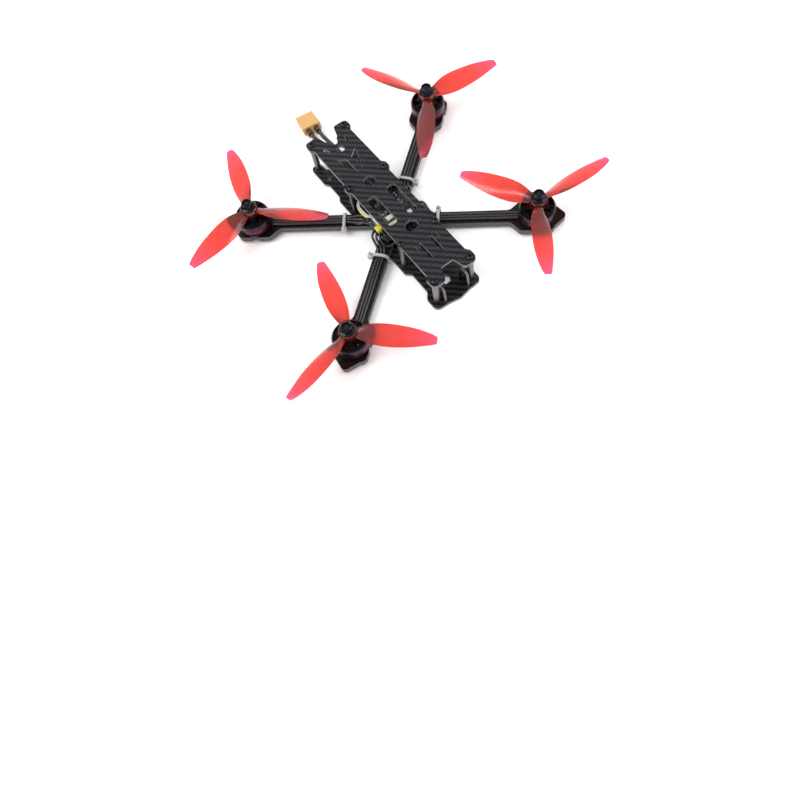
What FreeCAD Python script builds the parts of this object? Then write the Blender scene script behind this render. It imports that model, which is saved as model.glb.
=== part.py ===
import FreeCAD, Part
import math
import os
import Sketcher
from FreeCAD import Placement, Rotation, Vector

# Five-inch FPV racing quadcopter, millimetres. +Z up, nose towards -Y, +X to the pilot's left of the nose.
# Origin: centre of the motor square, on the underside of the bottom plate.

doc = FreeCAD.newDocument("fpv_racing_drone")

# Driving dimensions: alias, value, what it is
DRIVING = [
    ("wheel_base", 225.0, "motor shaft to motor shaft across the diagonal"),
    ("arm_angle", 38.7, "angle of each arm from the X axis, degrees"),
    ("arm_width", 11.4, "width of an arm"),
    ("arm_thick", 5.0, "carbon sheet of the arms"),
    ("bottom_thick", 2.5, "carbon sheet of the bottom plate"),
    ("clamp_thick", 2.0, "carbon sheet of the arm clamp plate"),
    ("top_thick", 2.5, "carbon sheet of the top plate"),
    ("bracket_thick", 2.0, "carbon sheet of the camera brackets"),
    ("post_length", 24.7, "length of a standoff post"),
    ("post_radius", 2.6, "outside radius of a standoff post"),
    ("post_side", 16.0, "posts stand this far either side of the centre line"),
    ("nose_post", 79.0, "front pair of posts, ahead of the centre"),
    ("fore_post", 37.0, "second pair of posts, ahead of the centre"),
    ("aft_post", 30.5, "third pair of posts, behind the centre"),
    ("tail_post", 87.0, "rear pair of posts, behind the centre"),
    ("top_half_width", 17.7, "half width of the top plate"),
    ("bottom_half_width", 21.3, "half width of the bottom plate at its ears"),
    ("stack_pitch", 30.5, "square bolt pattern of the circuit boards"),
    ("rear_pitch", 30.5, "square bolt pattern behind the arms"),
    ("root_bolt", 10.0, "inner arm bolt, out from the centre along the arm"),
    ("bolt_hole", 1.6, "radius of a clearance hole for an M3 screw"),
    ("thread_radius", 1.45, "radius of an M3 screw's shank"),
    ("thread_bore", 1.5, "radius of a hole tapped M3"),
    ("motor_pitch", 16.0, "square bolt pattern of a motor"),
    ("motor_ends", 10.2, "motor height less its stator: the base and the crown"),
    ("stator_radius", 11.0, "outside radius of the stator"),
    ("stator_height", 5.0, "stack height of the stator"),
    ("air_gap", 0.3, "stator to magnets"),
    ("magnet_thick", 1.25, "radial thickness of a magnet"),
    ("ring_thick", 1.35, "wall of the bell around the magnets"),
    ("shaft_radius", 2.0, "bore of the motor bearings"),
    ("shaft_play", 0.02, "running clearance of the shaft in its bearings"),
    ("bearing_radius", 4.5, "outside radius of a motor bearing"),
    ("bearing_height", 4.0, "width of a motor bearing"),
    ("prop_radius", 64.8, "propeller tip radius"),
    ("hub_radius", 7.0, "outside radius of the propeller hub"),
    ("hub_height", 6.0, "height of the propeller hub"),
    ("prop_bore", 2.5, "radius of the propeller's shaft hole"),
    ("board_thick", 1.6, "thickness of the circuit boards"),
    ("grommet_height", 4.8, "height of a board grommet"),
    ("nut_height", 2.4, "height of an M3 nut"),
    ("lead_radius", 1.0, "outside radius of a motor wire"),
    ("front_tie", 36.0, "cable tie of a front arm, out from the centre along it"),
    ("rear_tie", 39.0, "cable tie of a rear arm, out from the centre along it"),
    ("camera_gap", 19.8, "clear width between the camera brackets"),
    ("camera_hole", 1.05, "radius of the camera's M2 screw hole"),
    ("wire_radius", 1.75, "outside radius of a battery wire"),
    ("plug_pitch", 7.2, "contact to contact in the battery plug"),
    ("plug_length", 19.0, "length of the battery plug's housing"),
]

sheet = doc.addObject("Spreadsheet::Sheet", "sizes")
for row, (alias, value, note) in enumerate(DRIVING, start=1):
    sheet.set("A%d" % row, note)
    sheet.set("B%d" % row, str(value))
    sheet.setAlias("B%d" % row, alias)
doc.recompute()
size = {alias: float(sheet.get(alias)) for alias, value, note in DRIVING}

# Heights and places that follow from them
ARM_BASE = size["bottom_thick"]
ARM_TOP = ARM_BASE + size["arm_thick"]
CLAMP_TOP = ARM_TOP + size["clamp_thick"]
POST_TOP = ARM_BASE + size["post_length"]
DECK_TOP = POST_TOP + size["top_thick"]
MOTOR_HEIGHT = size["stator_height"] + size["motor_ends"]
SEAT = ARM_TOP + MOTOR_HEIGHT
STATOR_BASE = 4.6
ARM_LENGTH = size["wheel_base"] / 2
ARM_DIRECTION = Vector(math.cos(math.radians(size["arm_angle"])), math.sin(math.radians(size["arm_angle"])), 0)
CORNERS = {"front_left": (1, -1), "front_right": (-1, -1), "rear_left": (1, 1), "rear_right": (-1, 1)}
TIE_OUT = {-1: size["front_tie"], 1: size["rear_tie"]}
# +1 turns counter-clockwise seen from above
SPIN = {"front_left": -1, "front_right": 1, "rear_left": 1, "rear_right": -1}
POSTS = [(side * size["post_side"], along) for side in (-1, 1)
         for along in (-size["nose_post"], -size["fore_post"], size["aft_post"], size["tail_post"])]
STACK = [(i * size["stack_pitch"] / 2, j * size["stack_pitch"] / 2) for i in (-1, 1) for j in (-1, 1)]
ROOT_BOLTS = [(i * size["root_bolt"] * ARM_DIRECTION.x, j * size["root_bolt"] * ARM_DIRECTION.y)
              for i in (-1, 1) for j in (-1, 1)]

subparts = []


# ---- drawing helpers ----

def corner_arc(before, corner, after, radius):
    # tangent arc that rounds a corner: its start, middle and end
    to_before = (before - corner).normalize()
    to_after = (after - corner).normalize()
    half = to_before.getAngle(to_after) / 2
    bisector = (to_before + to_after).normalize()
    centre = corner + bisector * (radius / math.sin(half))
    reach = radius / math.tan(half)
    return corner + to_before * reach, centre - bisector * radius, corner + to_after * reach


def outline(corners):
    # closed outline of lines and arcs through (x, y, radius) corners
    points = [Vector(x, y, 0) for x, y, radius in corners]
    starts = []
    ends = []
    arcs = []
    for i, (x, y, radius) in enumerate(corners):
        if radius > 0:
            start, middle, end = corner_arc(points[i - 1], points[i], points[(i + 1) % len(points)], radius)
            arcs.append(Part.Arc(start, middle, end))
        else:
            start = end = points[i]
            arcs.append(None)
        starts.append(start)
        ends.append(end)
    pieces = []
    for i, arc in enumerate(arcs):
        if arc:
            pieces.append(arc)
        following = starts[(i + 1) % len(starts)]
        if ends[i].distanceToPoint(following) > 1e-6:
            pieces.append(Part.LineSegment(ends[i], following))
    return pieces


def mirrored(half):
    # a half outline on the +X side, closed by its mirror image; corners on the centre line count once
    other = [(-x, y, radius) for x, y, radius in reversed(half) if x > 1e-9]
    return half + other


def wire_of(corners):
    return Part.Wire([piece.toShape() for piece in outline(corners)])


def slab(corners, thick, base=0.0):
    shape = Part.Face(wire_of(corners)).extrude(Vector(0, 0, thick))
    shape.translate(Vector(0, 0, base))
    return shape


def box(x_low, y_low, z_low, x_high, y_high, z_high):
    return Part.makeBox(x_high - x_low, y_high - y_low, z_high - z_low, Vector(x_low, y_low, z_low))


def revolved(profile):
    # solid of revolution about Z from (radius, height) corners
    points = [Vector(radius, 0, height) for radius, height in profile]
    face = Part.Face(Part.makePolygon(points + points[:1]))
    return face.revolve(Vector(), Vector(0, 0, 1), 360)


def hex_prism(across_flats, height, base=0.0):
    radius = across_flats / math.sqrt(3)
    points = [Vector(radius * math.cos(k * math.pi / 3), radius * math.sin(k * math.pi / 3), base) for k in range(7)]
    return Part.Face(Part.makePolygon(points)).extrude(Vector(0, 0, height))


def at(x, y, z=0.0, turn=0.0):
    return Placement(Vector(x, y, z), Rotation(Vector(0, 0, 1), turn))


def copies(shape, places):
    out = []
    for place in places:
        copy = shape.copy()
        copy.Placement = place * shape.Placement
        out.append(copy)
    return out


def keep(name, solids, place=Placement()):
    # a sub-part whose shape is set directly; several solids make a group
    node = doc.addObject("Part::Feature", name)
    node.Label = name
    node.Shape = solids[0] if len(solids) == 1 else Part.makeCompound(solids)
    node.Placement = place * node.Shape.Placement
    subparts.append(node)
    return node


def new_body(name):
    body = doc.addObject("PartDesign::Body", name)
    body.Label = name
    subparts.append(body)
    return body


def new_sketch(body, role, offset=0.0):
    sketch = body.newObject("Sketcher::SketchObject", body.Name + "_sketch")
    plane = [feature for feature in body.Origin.OriginFeatures if feature.Role == role][0]
    sketch.AttachmentSupport = [(plane, "")]
    sketch.MapMode = "FlatFace"
    sketch.AttachmentOffset = Placement(Vector(0, 0, offset), Rotation())
    return sketch


def add_outline(sketch, corners):
    for piece in outline(corners):
        sketch.addGeometry(piece, False)


def add_circles(sketch, places, radius_cell):
    # round holes whose radius stays bound to its cell
    for x, y in places:
        index = sketch.addGeometry(Part.Circle(Vector(x, y, 0), Vector(0, 0, 1), size[radius_cell]), False)
        number = sketch.addConstraint(Sketcher.Constraint("Radius", index, size[radius_cell]))
        sketch.setExpression("Constraints[%d]" % number, "sizes." + radius_cell)


def pad(body, sketch, length_cell):
    feature = body.newObject("PartDesign::Pad", body.Name + "_pad")
    feature.Profile = sketch
    feature.setExpression("Length", "sizes." + length_cell)
    sketch.Visibility = False
    return feature


def revolution(body, sketch):
    feature = body.newObject("PartDesign::Revolution", body.Name + "_turned")
    feature.Profile = sketch
    feature.ReferenceAxis = (sketch, ["V_Axis"])
    feature.Angle = 360
    return feature


def polar_cut(body, sketch, count):
    # a pocket right through the part, repeated round the axis
    before = body.Shape.Volume
    cut = body.newObject("PartDesign::Pocket", body.Name + "_window")
    cut.Profile = sketch
    cut.Type = 1
    cut.Midplane = True
    pattern = body.newObject("PartDesign::PolarPattern", body.Name + "_windows")
    pattern.Originals = [cut]
    pattern.Axis = (sketch, ["N_Axis"])
    pattern.Angle = 360
    pattern.Occurrences = count
    body.Tip = pattern
    doc.recompute()
    if body.Shape.Volume > before - count:
        raise RuntimeError(body.Label + " windows cut nothing")


# ---- carbon plates ----

def bottom_plate():
    wide = size["bottom_half_width"]
    nose = -size["nose_post"]
    fore = -size["fore_post"]
    tail = size["tail_post"]
    aft = size["aft_post"]
    half = [
        (0, nose - 9.0, 0), (9.5, nose - 7.2, 3), (wide, nose - 6.5, 4.5), (wide, nose + 5.5, 2),
        (17.0, nose + 11, 1.5), (17.0, fore - 11, 1.5), (wide - 0.3, fore - 7, 1.5), (wide - 0.3, fore + 15, 2),
        (16.5, -8, 3), (16.5, 8, 3), (wide, aft - 4.5, 2), (wide, aft + 16.5, 1.5), (18.8, aft + 20.5, 1.5),
        (18.8, tail - 21, 1.5), (wide, tail - 17, 1.5), (wide, tail + 4, 3.5), (12.2, tail + 4, 2.5),
        (12.2, tail - 6.5, 2.5),
    ]
    body = new_body("bottom_plate")
    sketch = new_sketch(body, "XY_Plane")
    add_outline(sketch, mirrored(half))
    add_circles(sketch, rear_pattern(), "bolt_hole")
    add_outline(sketch, hexagon(0, nose + 11, 4.4))
    for side in (-1, 1):
        add_outline(sketch, bracket_slot(side))
    pad(body, sketch, "bottom_thick")
    doc.recompute()
    # countersunk so that every screw head is flush with the belly
    holes = new_sketch(body, "XY_Plane")
    add_circles(holes, POSTS + STACK + ROOT_BOLTS, "bolt_hole")
    before = body.Shape.Volume
    sunk = body.newObject("PartDesign::Hole", "bottom_plate_holes")
    sunk.Profile = holes
    doc.recompute()
    sunk.setExpression("Diameter", "2 * sizes.bolt_hole")
    sunk.DepthType = 1
    sunk.HoleCutType = "Countersink"
    sunk.HoleCutDiameter = 6.2
    sunk.HoleCutCountersinkAngle = 90
    sunk.Reversed = True
    body.Tip = sunk
    doc.recompute()
    if body.Shape.Volume > before - 100:
        raise RuntimeError("bottom plate holes cut nothing")


def rear_pattern():
    # 30.5 mm square pattern behind the arms, for an extra board
    middle = (size["aft_post"] + size["tail_post"]) / 2 - 2.0
    half = size["rear_pitch"] / 2
    return [(i * half, middle + j * half) for i in (-1, 1) for j in (-1, 1)]


def hexagon(x, y, reach, rounding=0.8):
    return [(x + reach * math.cos(k * math.pi / 3), y + reach * math.sin(k * math.pi / 3), rounding)
            for k in range(6)]


def octagon(x, y, reach):
    return [(x + reach * math.cos((k + 0.5) * math.pi / 4), y + reach * math.sin((k + 0.5) * math.pi / 4), 0.8)
            for k in range(8)]


def bracket_slot(side):
    # slot for a camera bracket's tab, 0.05 mm larger all round
    inner = size["camera_gap"] / 2 - 0.05
    outer = inner + size["bracket_thick"] + 0.1
    front = -size["nose_post"] - 2.55
    back = front + 6.1
    return [(side * inner, front, 0.3), (side * outer, front, 0.3), (side * outer, back, 0.3),
            (side * inner, back, 0.3)]


def clamp_plate():
    reach = size["stack_pitch"] / 2 + 4.3
    half = [(0, -reach, 0), (reach, -reach, 3.5), (reach, -10.5, 2), (16.3, -7, 2), (16.3, 7, 2),
            (reach, 10.5, 2), (reach, reach, 3.5), (0, reach, 0)]
    body = new_body("clamp_plate")
    body.setExpression("Placement.Base.z", "sizes.bottom_thick + sizes.arm_thick")
    sketch = new_sketch(body, "XY_Plane")
    add_outline(sketch, mirrored(half))
    add_circles(sketch, STACK + ROOT_BOLTS, "bolt_hole")
    pad(body, sketch, "clamp_thick")


def top_plate():
    side = size["top_half_width"]
    ear = side + 2.5
    nose = -size["nose_post"]
    tail = size["tail_post"]
    aft = size["aft_post"]
    half = [
        (0, nose + 6.7, 0), (5.6, nose + 6.7, 1.5), (8.8, nose - 4.5, 4.2), (ear, nose - 4.5, 4.8),
        (ear, nose + 4.5, 2), (side, nose + 8, 1), (side, aft - 5, 1), (ear, aft - 2, 2), (ear, aft + 3, 2),
        (side, aft + 6, 1), (side, tail - 7, 1), (ear, tail - 4, 2), (ear, tail + 4, 3.5), (8.3, tail + 4, 1.8),
        (5.9, tail - 5, 7), (3.1, tail - 8.5, 3), (3.1, tail - 12.5, 3),
    ]
    body = new_body("top_plate")
    body.setExpression("Placement.Base.z", "sizes.bottom_thick + sizes.post_length")
    sketch = new_sketch(body, "XY_Plane")
    add_outline(sketch, mirrored(half))
    add_circles(sketch, POSTS, "bolt_hole")
    add_outline(sketch, hexagon(0, tail - 19, 3.7))
    add_outline(sketch, octagon(0, aft - 3.5, 5.0))
    add_outline(sketch, octagon(0, -size["fore_post"] + 8, 5.7))
    for hand in (-1, 1):
        add_outline(sketch, [(hand * 12.2, tail - 23.2, 0.3), (hand * 2.1, tail - 31, 1),
                             (hand * 2.1, tail - 48.5, 0.4), (hand * 5.9, tail - 39, 2), (hand * 9.3, tail - 27, 1)])
        add_outline(sketch, [(hand * 12.6, tail - 10, 0.9), (hand * 10.2, tail - 9.2, 0.9),
                             (hand * 7.6, tail - 15.6, 0.9), (hand * 9.8, tail - 16.8, 0.9)])
        add_outline(sketch, strap_slot(hand))
        add_outline(sketch, [(hand * 3.9, nose + 16.3, 0.9), (hand * 6.3, nose + 18, 0.9),
                             (hand * 6.3, nose + 34.7, 0.9), (hand * 3.9, nose + 33, 0.9)])
        add_outline(sketch, [(hand * 9.1, nose + 28, 0.5), (hand * 10.4, nose + 27.2, 0.5),
                             (hand * 10.4, nose + 35, 0.5), (hand * 9.1, nose + 34.4, 0.5)])
    pad(body, sketch, "top_thick")


def strap_slot(hand):
    # window for the battery strap
    return [(hand * 5, -19, 2.5), (hand * 13.3, -19, 2.5), (hand * 13.3, 13, 3.5), (hand * 5, 13, 3.5)]


def along_arm(out, across, corner):
    # point at a distance out along an arm and across it, in the corner's own quadrant
    x = out * ARM_DIRECTION.x - across * ARM_DIRECTION.y
    y = out * ARM_DIRECTION.y + across * ARM_DIRECTION.x
    return corner[0] * x, corner[1] * y


def arm(name, corner):
    half = size["arm_width"] / 2
    hole = size["motor_pitch"] / 2
    lobe = hole + 5.9
    upper = [(-20.5, half, 6), (-hole - 4.6, lobe, 4.2), (-2.8, lobe, 1.6), (-1.6, lobe - 1.7, 1.2),
             (1.6, lobe - 1.7, 1.2), (2.8, lobe, 1.6), (hole + 4.7, lobe, 4.6), (hole + 5.6, hole + 1.9, 1.2)]
    pad_corners = [(u, -v, r) for u, v, r in upper] + [(2 * hole + 7.6, 0, 4)]
    pad_corners += [(u, v, r) for u, v, r in reversed(upper)]
    # the root is mitred against its neighbours, 0.05 mm off the centre lines
    seam = 0.05
    lower_x = (seam + half / math.cos(math.radians(size["arm_angle"]))) / math.tan(math.radians(size["arm_angle"]))
    upper_y = seam * math.tan(math.radians(size["arm_angle"])) + half / math.cos(math.radians(size["arm_angle"]))
    corners = [(corner[0] * seam, corner[1] * seam, 0), (corner[0] * lower_x, corner[1] * seam, 0)]
    for out, across, radius in pad_corners:
        x, y = along_arm(ARM_LENGTH + out, across, corner)
        corners.append((x, y, radius))
    corners.append((corner[0] * seam, corner[1] * upper_y, 0))
    body = new_body(name)
    body.setExpression("Placement.Base.z", "sizes.bottom_thick")
    sketch = new_sketch(body, "XY_Plane")
    add_outline(sketch, corners)
    bolts = [(corner[0] * size["stack_pitch"] / 2, corner[1] * size["stack_pitch"] / 2)]
    bolts.append(along_arm(size["root_bolt"], 0, corner))
    bolts += [along_arm(ARM_LENGTH + i * hole, j * hole, corner) for i in (-1, 1) for j in (-1, 1)]
    add_circles(sketch, bolts, "bolt_hole")
    add_circles(sketch, [along_arm(ARM_LENGTH, 0, corner)], "bearing_radius")
    pad(body, sketch, "arm_thick")


def camera_bracket(name, side):
    # upright plate whose tab stands in the bottom plate's slot
    front = -size["nose_post"] - 4.5
    base = size["bottom_thick"]
    corners = [
        (front, base, 0), (front + 2, base, 0), (front + 2, 0.05, 0.4), (front + 8, 0.05, 0.4),
        (front + 8, base, 0), (front + 11, base, 0), (front + 10, base + 13.5, 3), (front + 1.5, base + 13.5, 3),
    ]
    body = new_body(name)
    inner = side * size["camera_gap"] / 2
    body.Placement = Placement(Vector(inner if side > 0 else inner - size["bracket_thick"], 0, 0), Rotation())
    sketch = new_sketch(body, "YZ_Plane")
    add_outline(sketch, corners)
    add_circles(sketch, [(front + 5.5, base + 9.0)], "camera_hole")
    pad(body, sketch, "bracket_thick")


# ---- posts and screws ----

def sunk_screw(length):
    # flat-head M3 screw, head down
    shank = size["thread_radius"]
    head = 2.95
    shape = revolved([(0, 0.05), (head, 0.05), (shank, 0.05 + head - shank), (shank, length - 0.4),
                      (shank - 0.4, length), (0, length)])
    return shape.cut(hex_prism(2.0, 1.2, 0.0))


def button_screw(length):
    # button-head M3 screw, head up, seat at zero
    shank = size["thread_radius"]
    shape = revolved([(0, -length), (shank - 0.4, -length), (shank, 0.4 - length), (shank, 0), (2.85, 0),
                      (2.75, 0.55), (2.3, 1.15), (1.5, 1.55), (0, 1.65)])
    return shape.cut(hex_prism(2.0, 1.5, 0.65))


def posts_and_screws():
    bore = size["thread_bore"]
    radius = size["post_radius"]
    high = size["post_length"]
    tube = revolved([(bore, 0), (radius - 0.3, 0), (radius, 0.3), (radius, high - 0.3), (radius - 0.3, high),
                     (bore, high)])
    keep("standoff_posts", copies(tube, [at(x, y, ARM_BASE) for x, y in POSTS]))
    keep("top_screws", copies(button_screw(8.0), [at(x, y, DECK_TOP, 15) for x, y in POSTS]))
    short = copies(sunk_screw(8.0), [at(x, y) for x, y in POSTS])
    keep("belly_screws", short + copies(sunk_screw(CLAMP_TOP + 3.2), [at(x, y) for x, y in ROOT_BOLTS]))


def hex_nut(height, across=5.5):
    chamfer = revolved([(0, 0), (across / 2 + 0.1, 0), (across / 2 + 0.5, 0.35), (across / 2 + 0.5, height - 0.35),
                        (across / 2 + 0.1, height), (0, height)])
    return hex_prism(across, height).common(chamfer).cut(Part.makeCylinder(size["thread_bore"], height))


def board_heights():
    # underside of the speed controller board, and of the flight controller board
    flange = (size["grommet_height"] - size["board_thick"]) / 2
    lower = CLAMP_TOP + size["nut_height"]
    return lower + flange, lower + size["grommet_height"] + flange


def stack_hardware():
    lower = CLAMP_TOP + size["nut_height"]
    top = lower + 2 * size["grommet_height"]
    keep("clamp_nuts", copies(hex_nut(size["nut_height"]), [at(x, y, CLAMP_TOP) for x, y in STACK + ROOT_BOLTS]))
    keep("stack_screws", copies(sunk_screw(top + 4.6), [at(x, y) for x, y in STACK]))
    flange = (size["grommet_height"] - size["board_thick"]) / 2
    neck = 2.0
    tall = size["grommet_height"]
    grommet = revolved([(1.55, 0), (2.7, 0), (3.0, 0.4), (3.0, flange), (neck, flange), (neck, tall - flange),
                        (3.0, tall - flange), (3.0, tall - 0.4), (2.7, tall), (1.55, tall)])
    keep("board_grommets", copies(grommet, [at(x, y, lower + i * tall) for x, y in STACK for i in (0, 1)]))
    keep("stack_lock_nuts", copies(hex_nut(3.8), [at(x, y, top) for x, y in STACK]))


# ---- electronics ----

def board(name, corners, height):
    body = new_body(name)
    body.Placement = Placement(Vector(0, 0, height), Rotation())
    sketch = new_sketch(body, "XY_Plane")
    add_outline(sketch, corners)
    doc.recompute()
    for x, y in STACK:
        sketch.addGeometry(Part.Circle(Vector(x, y, 0), Vector(0, 0, 1), 2.0), False)
    pad(body, sketch, "board_thick")


def on_board(x_low, y_low, x_high, y_high, base, height):
    # block on a circuit board; its plan follows the board's bolt pattern
    share = size["stack_pitch"] / 30.5
    return box(x_low * share, y_low * share, base, x_high * share, y_high * share, base + height)


def electronics():
    speed, flight = board_heights()
    edge = size["stack_pitch"] / 2 + 3.4
    thick = size["board_thick"]
    board("speed_controller_board", mirrored([(0, -edge - 2, 0), (11, -edge - 2, 1), (12.5, -edge, 1),
                                              (edge, -edge, 1.5), (edge, edge, 1.5), (12.5, edge, 1),
                                              (11, edge + 5.5, 1), (0, edge + 5.5, 0)]), speed)
    deck = speed + thick
    mosfet = on_board(-1.6, -1.6, 1.6, 1.6, 0, 0.95)
    share = size["stack_pitch"] / 30.5
    rows = [at(i * x * share, (-9.5 + 3.8 * k) * share, deck) for i in (-1, 1) for x in (10.4, 14.3)
            for k in range(6)]
    driver = on_board(-2.5, -2.5, 2.5, 2.5, 0, 0.9)
    drivers = [at(0, y * share, deck) for y in (-9, 0, 9)]
    keep("speed_controller_chips", copies(mosfet, rows) + copies(driver, drivers))
    board("flight_controller_board", flight_outline(edge), flight)
    deck = flight + thick
    chips = [on_board(-3.5, -3.5, 3.5, 3.5, deck, 1.0), on_board(5.5, 4, 8.5, 7, deck, 0.9),
             on_board(-8, 5, -5, 8.5, deck, 1.2), on_board(5.5, -7, 10, -2.5, deck, 1.6),
             on_board(1, 8, 6.5, 11.5, deck, 1.0)]
    keep("flight_controller_chips", chips)
    sockets = [
        on_board(-16.8, -6.5, -12.6, 5.5, deck, 2.9), on_board(-10.9, -16, -2.6, -11.6, deck, 2.9),
        on_board(12.8, -5, 16.8, 4, deck, 2.9), on_board(-4, 12.2, 4, 16.3, deck, 2.9),
    ]
    keep("board_sockets", sockets)
    shell = on_board(2.4, -17.6, 11.0, -11.2, deck, 3.2)
    keep("usb_socket", [shell.cut(on_board(2.9, -18, 10.5, -12.2, deck + 0.5, 2.2))])
    # yellow tantalum blocks at the front and rear edges of the speed controller
    low = speed + thick
    keep("tantalum_capacitors", [on_board(-11.0, -20.0, -5.0, -16.2, low, 2.8),
                                 on_board(6.9, 19.4, 10.8, 23.2, low, 2.8)])


def flight_outline(edge):
    near = edge - 0.6
    return mirrored([(0, -near, 0), (near - 1.2, -near, 1.2), (near, -near + 1.4, 1.2), (near, near - 1.4, 1.2),
                     (near - 1.2, near, 1.2), (0, near, 0)])


def capacitor_and_receiver():
    # bulk capacitor lies along the centre line behind the boards, right of the battery wires
    radius = 5.0
    x = 9.0
    y = size["aft_post"] + 4.0
    can = Part.makeCylinder(radius, 20, Vector(x, y, ARM_BASE + radius + 0.2), Vector(0, 1, 0))
    groove = Part.makeTorus(radius + 0.35, 0.8, Vector(x, y + 2.6, ARM_BASE + radius + 0.2), Vector(0, 1, 0))
    keep("power_capacitor", [can.cut(groove)])
    y += 23
    base = ARM_BASE + 0.1
    keep("radio_receiver", [box(3, y, base, 13, y + 16, base + 1.0),
                            box(4, y + 1, base + 1.0, 12, y + 8, base + 3.2),
                            box(4.5, y + 10, base + 1.0, 11.5, y + 14, base + 2.4)])


# ---- motors ----

def motor_place(name):
    x, y = along_arm(ARM_LENGTH, 0, CORNERS[name])
    return at(x, y, ARM_TOP, math.degrees(math.atan2(y, x)))


def motor_parts(name):
    place = motor_place(name)
    stack_top = STATOR_BASE + size["stator_height"]
    magnet_inner = size["stator_radius"] + size["air_gap"]
    magnet_outer = magnet_inner + size["magnet_thick"]
    bell_radius = magnet_outer + 0.05 + size["ring_thick"]
    top = MOTOR_HEIGHT
    bearing = size["bearing_radius"]
    tube = bearing + 1.0

    # base: flange on the arm and the tube that holds the bearings
    base = new_body("motor_base_" + name)
    base.Placement = place
    sketch = new_sketch(base, "XZ_Plane")
    flange = size["motor_pitch"] / math.sqrt(2) + 2.3
    add_outline(sketch, [(3.2, 0, 0), (flange, 0, 0.4), (flange, 2.3, 0.6), (tube + 0.6, 2.3, 0), (tube, 4.55, 0),
                         (tube, top - 4.2, 0.2), (bearing, top - 4.2, 0), (bearing, 2.6, 0), (3.2, 2.6, 0)])
    revolution(base, sketch)
    doc.recompute()
    windows = new_sketch(base, "XY_Plane")
    windows.addGeometry(Part.Circle(Vector(9.6, 0, 0), Vector(0, 0, 1), 2.5), False)
    polar_cut(base, windows, 4)
    holes = new_sketch(base, "XY_Plane")
    pitch = size["motor_pitch"] / 2
    add_circles(holes, [(i * pitch, j * pitch) for i in (-1, 1) for j in (-1, 1)], "thread_bore")
    drilled = base.newObject("PartDesign::Pocket", base.Name + "_threads")
    drilled.Profile = holes
    drilled.Type = 1
    drilled.Midplane = True
    before = base.Shape.Volume
    base.Tip = drilled
    doc.recompute()
    if base.Shape.Volume > before - 4:
        raise RuntimeError(base.Label + " threads cut nothing")

    # bell: flux ring and the spoked crown that carries the propeller
    bell = new_body("motor_bell_" + name)
    bell.Placement = place
    sketch = new_sketch(bell, "XZ_Plane")
    inner = magnet_outer + 0.05
    bore = size["shaft_radius"]
    add_outline(sketch, [
        (inner, 3.3, 0), (bell_radius - 0.5, 3.3, 0), (bell_radius, 3.8, 0), (bell_radius, stack_top + 1.0, 0.8),
        (bell_radius - 1.4, stack_top + 3.3, 0.8), (8.6, top - 1.9, 1), (6.6, top, 0.6), (bore, top, 0),
        (bore, top - 3.6, 0), (5.6, top - 3.6, 0.5), (8.4, top - 4.0, 1), (inner - 0.8, stack_top + 1.6, 0.5),
        (inner, stack_top + 0.8, 0),
    ])
    revolution(bell, sketch)
    doc.recompute()
    windows = new_sketch(bell, "XY_Plane")
    spoke = [(7.4, -1.1, 0.7), (11.6, -2.9, 1.0), (11.6, 2.9, 1.0), (7.4, 1.1, 0.7)]
    add_outline(windows, spoke)
    polar_cut(bell, windows, 8)

    # magnets: fourteen arc segments
    count = 14
    ring = Part.makeCylinder(magnet_outer, size["stator_height"] + 0.8, Vector(0, 0, STATOR_BASE - 0.4),
                             Vector(0, 0, 1), 360 / count - 2.5)
    ring = ring.cut(Part.makeCylinder(magnet_inner, 20))
    turned = [ring.copy().rotate(Vector(), Vector(0, 0, 1), 360 * k / count) for k in range(count)]
    keep("motor_magnets_" + name, turned, place)

    # shaft: pressed in the bell, threaded M5 above the propeller seat
    slim = size["shaft_radius"] - size["shaft_play"]
    thread = size["prop_bore"] - 0.05
    end = top + size["hub_height"] + 4.7
    shaft = revolved([(0, 1.2), (slim - 0.3, 1.2), (slim, 1.5), (slim, top), (thread, top), (thread, end - 0.5),
                      (thread - 0.5, end), (0, end)])
    keep("motor_shaft_" + name, [shaft], place)


def stator_tooth():
    outer = size["stator_radius"]
    shoe = Part.makeCylinder(outer, size["stator_height"], Vector(), Vector(0, 0, 1), 25)
    shoe = shoe.cut(Part.makeCylinder(outer - 0.9, size["stator_height"]))
    shoe.rotate(Vector(), Vector(0, 0, 1), -12.5)
    return shoe.fuse(box(6.2, -0.85, 0, outer - 0.6, 0.85, size["stator_height"]))


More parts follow.
